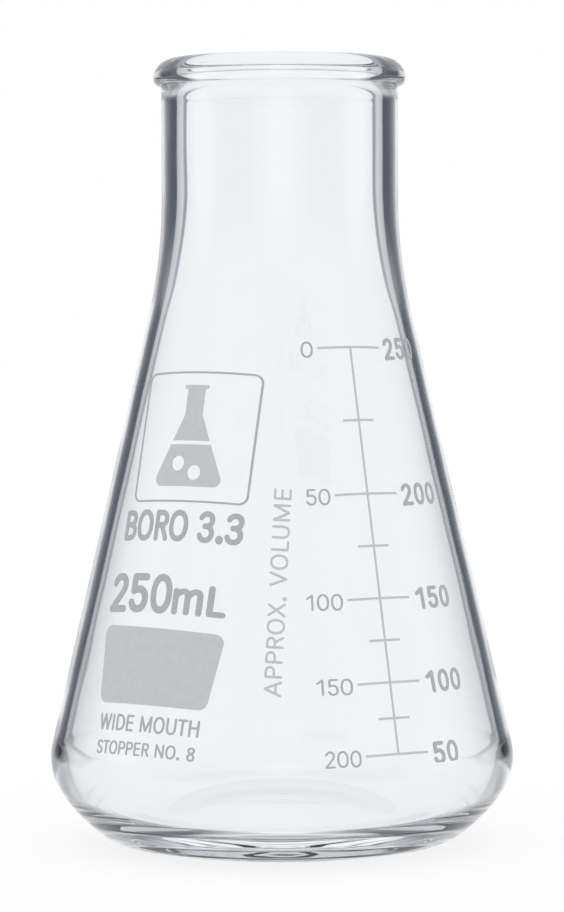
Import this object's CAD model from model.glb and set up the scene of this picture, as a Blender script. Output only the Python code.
"""Looks of a wide-mouth Erlenmeyer flask: a smooth glass vessel, its enamel print and a white studio."""

from math import cos, pi, radians, sin, tan

import bpy
from mathutils import Matrix, Vector


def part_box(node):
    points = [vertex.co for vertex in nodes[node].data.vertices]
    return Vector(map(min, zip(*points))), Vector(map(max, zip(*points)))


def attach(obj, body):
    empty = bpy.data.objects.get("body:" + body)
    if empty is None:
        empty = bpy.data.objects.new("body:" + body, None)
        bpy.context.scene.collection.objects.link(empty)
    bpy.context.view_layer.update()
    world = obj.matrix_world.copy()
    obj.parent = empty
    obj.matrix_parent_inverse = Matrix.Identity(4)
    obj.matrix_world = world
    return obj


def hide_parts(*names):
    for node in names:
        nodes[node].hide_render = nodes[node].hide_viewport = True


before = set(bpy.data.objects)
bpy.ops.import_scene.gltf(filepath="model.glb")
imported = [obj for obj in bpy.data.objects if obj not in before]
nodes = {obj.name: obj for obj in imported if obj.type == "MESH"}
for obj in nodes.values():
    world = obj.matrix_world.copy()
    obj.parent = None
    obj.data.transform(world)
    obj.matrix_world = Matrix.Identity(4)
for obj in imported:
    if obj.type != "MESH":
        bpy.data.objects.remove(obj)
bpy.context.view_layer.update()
scene = bpy.context.scene

MM = 0.001

# ---- The glass's section, in millimetres and degrees, as the CAD part has it ----
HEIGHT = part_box("glass_body")[1][2] / MM
CONE_ANGLE = 13.04
FOOT_RING = (20.6, 22.4)
PUNT_LIP_RADIUS = 6.0
PUNT_SLOPE = 9.0
BASE_ARCS = ((28.3, 14.4), (7.3, 20.9), (27.5, 22.4), (10.7, 90 + CONE_ANGLE - 57.7))
SHOULDER_RADIUS = 94.0
NECK_RADIUS = 20.8
NECK_WALL = 2.7
BODY_WALL = 1.9
BEAD_RADIUS = 22.15
BEAD_ARCS = (1.4, 3.4)
FLOOR_CROWN = (14.0, 5.7)
FLOOR_EDGE_HEIGHT = 4.3
INNER_ROUNDINGS = (60.0, 11.5, 95.0)
ARC_STEP = 1.5  # degrees of turn between two rings of the lathe
LATHE_SEGMENTS = 256
LONGEST_RUN = 3.0
SAME_POINT = 1e-4  # points closer than this are one point, and radii under it lie on the axis


def arc(start, slope, radius, turn):
    """Points of an arc that leaves start at a slope, in degrees, and turns left if turn is positive."""
    side = 1 if turn > 0 else -1
    lift = radians(slope)
    centre = (start[0] - side * radius * sin(lift), start[1] + side * radius * cos(lift))
    steps = max(2, round(abs(turn) / ARC_STEP))
    points = []
    for step in range(1, steps + 1):
        angle = radians(slope + turn * step / steps)
        points.append((centre[0] + side * radius * sin(angle), centre[1] - side * radius * cos(angle)))
    return points


def rounded(before, corner, after, radius):
    """Points of the arc that rounds a corner between two straight runs."""
    here = Vector(corner)
    towards, away = (here - Vector(before)).normalized(), (Vector(after) - here).normalized()
    turn = towards.angle_signed(away) * -180 / pi
    cut = radius * tan(radians(abs(turn)) / 2)
    start = here - towards * cut
    slope = Vector((1, 0)).angle_signed(towards) * -180 / pi
    return [tuple(start)] + arc(tuple(start), slope, radius, turn)


def outer_profile():
    """The outside, from the middle of the punt under the base to the top of the rim."""
    lip = arc((FOOT_RING[0], 0), 180, PUNT_LIP_RADIUS, -PUNT_SLOPE)
    crown = arc(lip[-1], 180 - PUNT_SLOPE, lip[-1][0] / sin(radians(PUNT_SLOPE)), PUNT_SLOPE)
    points = crown[::-1] + lip[::-1] + [(FOOT_RING[0], 0), (FOOT_RING[1], 0)]
    slope = 0
    for radius, turn in BASE_ARCS:
        points += arc(points[-1], slope, radius, turn)
        slope += turn
    heel = points[-1]
    shoulder_foot = NECK_RADIUS + SHOULDER_RADIUS * (1 - cos(radians(CONE_ANGLE)))
    points.append((shoulder_foot, heel[1] + (heel[0] - shoulder_foot) / tan(radians(CONE_ANGLE))))
    points += arc(points[-1], slope, SHOULDER_RADIUS, -CONE_ANGLE)
    lower, upper = BEAD_ARCS
    widest = HEIGHT - upper
    points.append((NECK_RADIUS, widest - lower))
    points += arc((BEAD_RADIUS - lower, widest - lower), 0, lower, 90)
    points += arc((BEAD_RADIUS, widest), 90, upper, 90)
    return points, heel


def inner_profile(heel):
    """The inside, from the top of the rim down to the middle of the floor."""
    lean = radians(CONE_ANGLE)
    bore = NECK_RADIUS - NECK_WALL
    rim_top = BEAD_RADIUS - BEAD_ARCS[1]
    wall = BODY_WALL / cos(lean)

    def height_at(radius):
        return heel[1] + (heel[0] - wall - radius) / tan(lean)

    def radius_at(height):
        return heel[0] - wall - (height - heel[1]) * tan(lean)

    middle = (0, FLOOR_CROWN[1])
    corners = [middle, FLOOR_CROWN, (radius_at(FLOOR_EDGE_HEIGHT), FLOOR_EDGE_HEIGHT)]
    corners += [(bore, height_at(bore)), (bore, HEIGHT - (rim_top - bore))]
    points = [middle]
    for index, radius in enumerate(INNER_ROUNDINGS):
        points += rounded(corners[index], corners[index + 1], corners[index + 2], radius)
    points.append(corners[-1])
    points += arc(corners[-1], 90, rim_top - bore, -90)
    return points[::-1]


def spaced(points):
    """The same outline with its long straight runs divided, and no point twice."""
    result = [points[0]]
    for point in points[1:]:
        start = Vector(result[-1])
        run = Vector(point) - start
        if run.length < SAME_POINT:
            continue
        pieces = max(1, round(run.length / LONGEST_RUN))
        result += [tuple(start + run * step / pieces) for step in range(1, pieces + 1)]
    return result


def lathe(name, points):
    """A closed mesh turned about Z from an outline that starts and ends on the axis."""
    rings = [point for point in points if point[0] > SAME_POINT]
    vertices = [(0, 0, points[0][1] * MM)]
    for radius, height in rings:
        for segment in range(LATHE_SEGMENTS):
            angle = 2 * pi * segment / LATHE_SEGMENTS
            vertices.append((radius * MM * cos(angle), radius * MM * sin(angle), height * MM))
    vertices.append((0, 0, points[-1][1] * MM))
    faces = []
    for segment in range(LATHE_SEGMENTS):
        beside = (segment + 1) % LATHE_SEGMENTS
        faces.append((0, 1 + beside, 1 + segment))
        for ring in range(len(rings) - 1):
            low, high = 1 + ring * LATHE_SEGMENTS, 1 + (ring + 1) * LATHE_SEGMENTS
            faces.append((low + segment, low + beside, high + beside, high + segment))
        last = 1 + (len(rings) - 1) * LATHE_SEGMENTS
        faces.append((last + segment, last + beside, len(vertices) - 1))
    mesh = bpy.data.meshes.new(name)
    mesh.from_pydata(vertices, [], faces)
    mesh.shade_smooth()
    mesh.update()
    piece = bpy.data.objects.new(name, mesh)
    scene.collection.objects.link(piece)
    return piece


# ---- Materials ----
GLASS_TINT = (0.985, 0.988, 0.995)
GLASS_INDEX = 1.47
GLASS_ROUGHEST = 0.01
WAVE_SCALE = 60
WAVE_DEPTH = 0.3 * MM
WAVE_STRENGTH = 0.2
MOTTLE_SCALE = 900
MOTTLE_DETAIL = 4.0
MOTTLE_ROUGHNESS = 0.65
MOTTLE_EDGES = (0.3, 0.7)
ENAMEL_ROUGHNESS = (0.45, 0.62)
GRAIN_SCALE = 2600
GRAIN_DEPTH = 0.02 * MM
GRAIN_STRENGTH = 0.5


def new_material(name):
    """A node material with its Principled shader, and short calls to add and link nodes."""
    material = bpy.data.materials.new(name)
    material.use_nodes = True
    tree = material.node_tree
    return material, tree, tree.nodes["Principled BSDF"]


def noise(tree, scale, detail=3.0, roughness=0.5):
    """A noise texture on object coordinates, so that it stays with the piece."""
    place = tree.nodes.new("ShaderNodeTexCoord")
    texture = tree.nodes.new("ShaderNodeTexNoise")
    texture.inputs["Scale"].default_value = scale
    texture.inputs["Detail"].default_value = detail
    texture.inputs["Roughness"].default_value = roughness
    tree.links.new(place.outputs["Object"], texture.inputs["Vector"])
    return texture.outputs["Fac"]


def spread(tree, value, low, high):
    """A value between 0 and 1 spread between two others."""
    node = tree.nodes.new("ShaderNodeMapRange")
    node.inputs["To Min"].default_value = low
    node.inputs["To Max"].default_value = high
    tree.links.new(value, node.inputs["Value"])
    return node.outputs["Result"]


def bump(tree, height, distance, strength):
    """A bump normal from a height."""
    node = tree.nodes.new("ShaderNodeBump")
    node.inputs["Distance"].default_value = distance
    node.inputs["Strength"].default_value = strength
    tree.links.new(height, node.inputs["Height"])
    return node.outputs["Normal"]


def glass_material():
    """Clear borosilicate glass, fire polished, with the faint waviness of blown ware."""
    material, tree, shader = new_material("borosilicate_glass")
    shader.inputs["Base Color"].default_value = (*GLASS_TINT, 1)
    shader.inputs["Transmission Weight"].default_value = 1
    shader.inputs["IOR"].default_value = GLASS_INDEX
    wave = noise(tree, WAVE_SCALE, 1.0)
    tree.links.new(spread(tree, wave, 0.0, GLASS_ROUGHEST), shader.inputs["Roughness"])
    tree.links.new(bump(tree, wave, WAVE_DEPTH, WAVE_STRENGTH), shader.inputs["Normal"])
    return material


def enamel_material(name, thin, thick):
    """Grey fired enamel: satin, a little mottled where the screen laid it thin."""
    material, tree, shader = new_material(name)
    mottle = noise(tree, MOTTLE_SCALE, MOTTLE_DETAIL, MOTTLE_ROUGHNESS)
    ramp = tree.nodes.new("ShaderNodeValToRGB")
    for element, position, colour in zip(ramp.color_ramp.elements, MOTTLE_EDGES, (thick, thin)):
        element.position = position
        element.color = (*colour, 1)
    tree.links.new(mottle, ramp.inputs["Fac"])
    tree.links.new(ramp.outputs["Color"], shader.inputs["Base Color"])
    tree.links.new(spread(tree, mottle, *ENAMEL_ROUGHNESS), shader.inputs["Roughness"])
    grain = noise(tree, GRAIN_SCALE)
    tree.links.new(bump(tree, grain, GRAIN_DEPTH, GRAIN_STRENGTH), shader.inputs["Normal"])
    return material


# ---- Pieces ----
outer_points, heel_top = outer_profile()
flask = lathe("glass_vessel", spaced(outer_points + inner_profile(heel_top)))
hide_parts("glass_body")
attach(flask, "root")
flask.data.materials.append(glass_material())

pale_enamel = enamel_material("pale_enamel", (0.548, 0.554, 0.583), (0.504, 0.509, 0.537))
full_enamel = enamel_material("full_enamel", (0.44, 0.445, 0.475), (0.385, 0.39, 0.415))
PALE_PRINTS = ("marking_patch", "emblem_pictogram", "graduation_scale", "scale_note_text")
for name, node in nodes.items():
    if name != "glass_body":
        for slot in node.material_slots:
            slot.material = pale_enamel if name in PALE_PRINTS else full_enamel

# ---- Floor ----
FLOOR_REACH = 6.0
FLOOR_DROP = 0.02 * MM  # keeps the floor's face just clear of the foot ring's
FLOOR_GREY = 0.2
FLOOR_GLOW = 0.81
floor_mesh = bpy.data.meshes.new("floor")
floor_signs = ((-1, -1), (1, -1), (1, 1), (-1, 1))
floor_corners = [(x * FLOOR_REACH, y * FLOOR_REACH, 0) for x, y in floor_signs]
floor_mesh.from_pydata(floor_corners, [], [(0, 1, 2, 3)])
floor = bpy.data.objects.new("floor", floor_mesh)
floor.location.z = -FLOOR_DROP
scene.collection.objects.link(floor)
floor_material, floor_tree, floor_shader = new_material("pale_floor")
floor_shader.inputs["Base Color"].default_value = (FLOOR_GREY, FLOOR_GREY, FLOOR_GREY, 1)
floor_shader.inputs["Roughness"].default_value = 1
floor_shader.inputs["Specular IOR Level"].default_value = 0
floor_shader.inputs["Emission Color"].default_value = (1, 1, 1, 1)
floor_shader.inputs["Emission Strength"].default_value = FLOOR_GLOW
floor_mesh.materials.append(floor_material)
floor.visible_transmission = False
floor.visible_glossy = False

# ---- Studio light: a white surround whose tones depend on how the light has gone through the glass ----
# Light Path depths sort the light, which no real room does, so the edge bands are a fit to the main view
NEARLY_EQUAL = 0.5  # reach of the COMPARE operation
AT_LEAST_ONE = 0.5  # a depth above this is 1 or more
world = bpy.data.worlds.new("studio")
scene.world = world
world.use_nodes = True
sky = world.node_tree
background = sky.nodes["Background"]
paths = sky.nodes.new("ShaderNodeLightPath")
place = sky.nodes.new("ShaderNodeTexCoord")
split = sky.nodes.new("ShaderNodeSeparateXYZ")
sky.links.new(place.outputs["Generated"], split.inputs["Vector"])


def math(operation, first, second=None):
    """One maths node of the world."""
    node = sky.nodes.new("ShaderNodeMath")
    node.operation = operation
    node.inputs[2].default_value = NEARLY_EQUAL
    for socket, value in zip(node.inputs, (first, second)):
        if value is None:
            continue
        if isinstance(value, (int, float)):
            socket.default_value = value
        else:
            sky.links.new(value, socket)
    return node.outputs["Value"]


def ramp_of(value, stops):
    """Colours by a value between 0 and 1."""
    node = sky.nodes.new("ShaderNodeValToRGB")
    elements = node.color_ramp.elements
    for index, (position, colour) in enumerate(stops):
        element = elements[index] if index < 2 else elements.new(position)
        element.position = position
        element.color = (*colour, 1)
    sky.links.new(value, node.inputs["Fac"])
    return node.outputs["Color"]


def choose(factor, no, yes):
    """Colour no where the factor is 0 and yes where it is 1."""
    node = sky.nodes.new("ShaderNodeMix")
    node.data_type = "RGBA"
    sky.links.new(factor, node.inputs["Factor"])
    sky.links.new(no, node.inputs["A"])
    sky.links.new(yes, node.inputs["B"])
    return node.outputs["Result"]


azimuth = math("ARCTAN2", split.outputs["X"], split.outputs["Y"])
quarter = math("PINGPONG", azimuth, pi / 4)  # 0 along the axes, 45 degrees on the diagonals
level = math("SQRT", math("SUBTRACT", 1, math("MULTIPLY", split.outputs["Z"], split.outputs["Z"])))
turned = math("DIVIDE", math("ARCCOSINE", math("MULTIPLY", math("COSINE", quarter), level)), pi / 2)


def tone(grey, blue=0.0):
    """A neutral tone, with a little more blue if asked."""
    return (grey, grey * (1 + blue / 3), grey * (1 + blue))


def by_angle(*stops):
    """Light by the angle, in degrees, from the nearest level axis. A stop is (angle, grey, blue)."""
    return ramp_of(turned, [(angle / 90, tone(*shade)) for angle, *shade in stops])


# Light that has turned back inside one wall: it draws the bright, grey and dark bands along the edges
walls = by_angle(
    (0, 0.97, 0.03), (90, 0.50, 0.10), (9.5, 0.95, 0.03), (11.5, 0.60, 0.08), (14, 0.48, 0.12),
    (17, 0.30, 0.20), (22, 0.08, 0.45), (46, 0.08, 0.45), (60, 0.45, 0.10),
)
walls_steep = by_angle(
    (0, 0.95, 0.03), (90, 0.60, 0.10), (9, 0.90, 0.04), (14, 0.62, 0.08),
    (20, 0.34, 0.15), (28, 0.30, 0.15), (36, 0.50, 0.10),
)
# Light that has gone through without turning back
clear = by_angle(
    (0, 0.94, 0.012), (90, 0.85, 0.02), (15.5, 0.94, 0.012), (16.5, 0.22, 0.3),
    (18.5, 0.22, 0.3), (20, 0.66, 0.08), (50, 0.66, 0.08), (60, 0.85, 0.02),
)
# Light off the outside of the glass
outside = by_angle(
    (0, 0.95, 0.02), (90, 0.88, 0.02), (22, 0.95, 0.02), (28, 0.35, 0.10),
    (36, 0.20, 0.20), (46, 0.25, 0.10), (58, 0.88, 0.02),
)
outside_low = by_angle((0, 0.92, 0.02), (90, 0.92, 0.02))
# Plain surrounds for the directions that need no bands, and light that has turned back deeper inside
white = by_angle((0, 1), (90, 1))
bright = by_angle((0, 0.94, 0.02), (90, 0.94, 0.02))
inside = by_angle((0, 0.90, 0.02), (90, 0.62, 0.06), (25, 0.82, 0.03))
# How far the direction is from level: 1 where it is clearly below, and 1 where it is clearly steep
rise = math("ABSOLUTE", split.outputs["Z"])
fall = math("MULTIPLY", split.outputs["Z"], -1)
low = ramp_of(fall, [(0, tone(0)), (1, tone(1)), (0.05, tone(0)), (0.12, tone(1))])
steep = ramp_of(rise, [(0, tone(0)), (1, tone(1)), (0.14, tone(0)), (0.26, tone(1))])
passed = paths.outputs["Transmission Depth"]
through = math("GREATER_THAN", passed, AT_LEAST_ONE)
one_wall = math("COMPARE", passed, 2.0)
bounced = math("GREATER_THAN", paths.outputs["Glossy Depth"], AT_LEAST_ONE)
diffused = math("GREATER_THAN", paths.outputs["Diffuse Depth"], AT_LEAST_ONE)
seen_through = choose(
    bounced, choose(steep, clear, bright), choose(one_wall, inside, choose(steep, walls, walls_steep))
)
seen_outside = choose(bounced, white, choose(low, choose(steep, outside, outside_low), outside_low))
seen = choose(through, seen_outside, seen_through)
sky.links.new(choose(diffused, seen, white), background.inputs["Color"])
background.inputs["Strength"].default_value = 1
# Light turns back many times inside the base, which goes black at the usual limits
scene.cycles.max_bounces = 32
scene.cycles.glossy_bounces = 24
scene.cycles.transmission_bounces = 24

# ---- Camera: a long lens, level with the shoulder and looking down a little ----
CAMERA_ASIDE = 0.0002
CAMERA_DISTANCE = 0.6025
CAMERA_HEIGHT = 0.0931
CAMERA_PITCH = 0.0412
CAMERA_ROLL = radians(-0.22)
SENSOR_WIDTH = 36
LENS = 134.85
camera_data = bpy.data.cameras.new("camera")
camera_data.sensor_width = SENSOR_WIDTH
camera_data.lens = LENS
camera = bpy.data.objects.new("camera", camera_data)
scene.collection.objects.link(camera)
turn_down = Matrix.Rotation(pi / 2 - CAMERA_PITCH, 4, "X")
roll = Matrix.Rotation(CAMERA_ROLL, 4, "Z")
camera_place = Matrix.Translation((CAMERA_ASIDE, -CAMERA_DISTANCE, CAMERA_HEIGHT))
camera.matrix_world = camera_place @ turn_down @ roll
scene.camera = camera
scene.view_settings.view_transform = "Standard"
